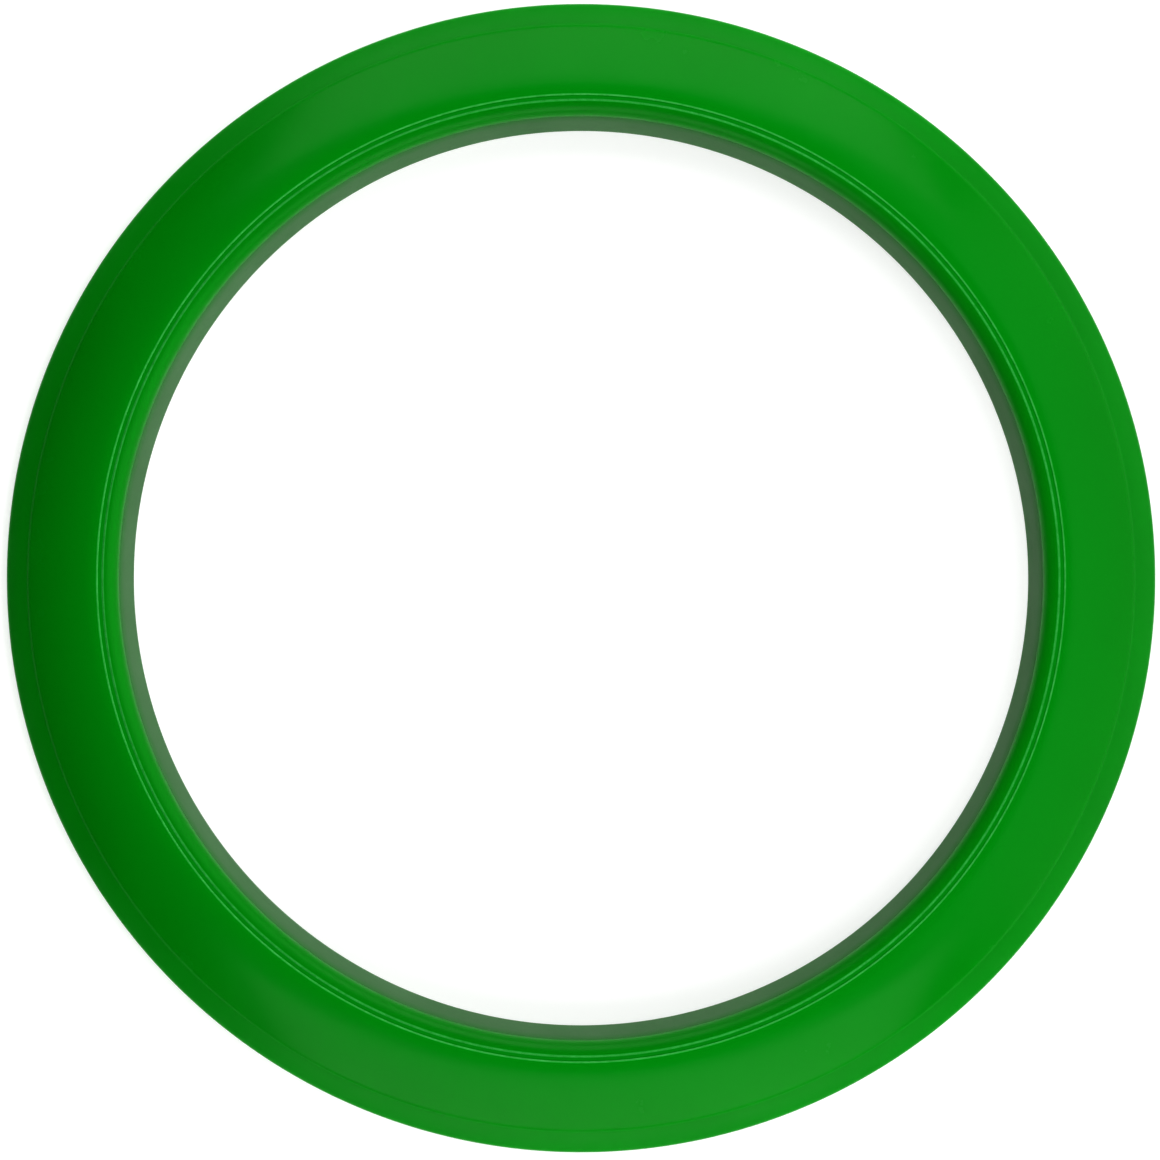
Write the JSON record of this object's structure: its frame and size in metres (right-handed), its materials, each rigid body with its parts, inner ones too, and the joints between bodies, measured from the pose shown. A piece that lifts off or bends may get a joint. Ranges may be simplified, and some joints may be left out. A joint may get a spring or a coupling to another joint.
{
  "type": "flying ring",
  "caption": "Open-centred throwing ring with a sloping airfoil crown, a soft outer bumper, a rounded soft inner lip and a flat base.",
  "frame": {"origin": "on the ring's axis, in the plane that it rests on", "axes": "+Z along the ring's axis, from the flat base up to the crown"},
  "size_m": [0.254, 0.254, 0.012],
  "materials": {
    "crown_green": "satin bright green moulded plastic",
    "base_grey_green": "dull grey-green moulded plastic",
    "soft_bumper_green": "soft green thermoplastic rubber, fine matt skin",
    "soft_lip_green": "soft green thermoplastic rubber, smooth skin"
  },
  "bodies": {
    "root": {"top_shell": "crown_green", "bottom_shell": "base_grey_green", "outer_bumper": "soft_bumper_green", "inner_lip": "soft_lip_green"}
  },
  "joints": []
}
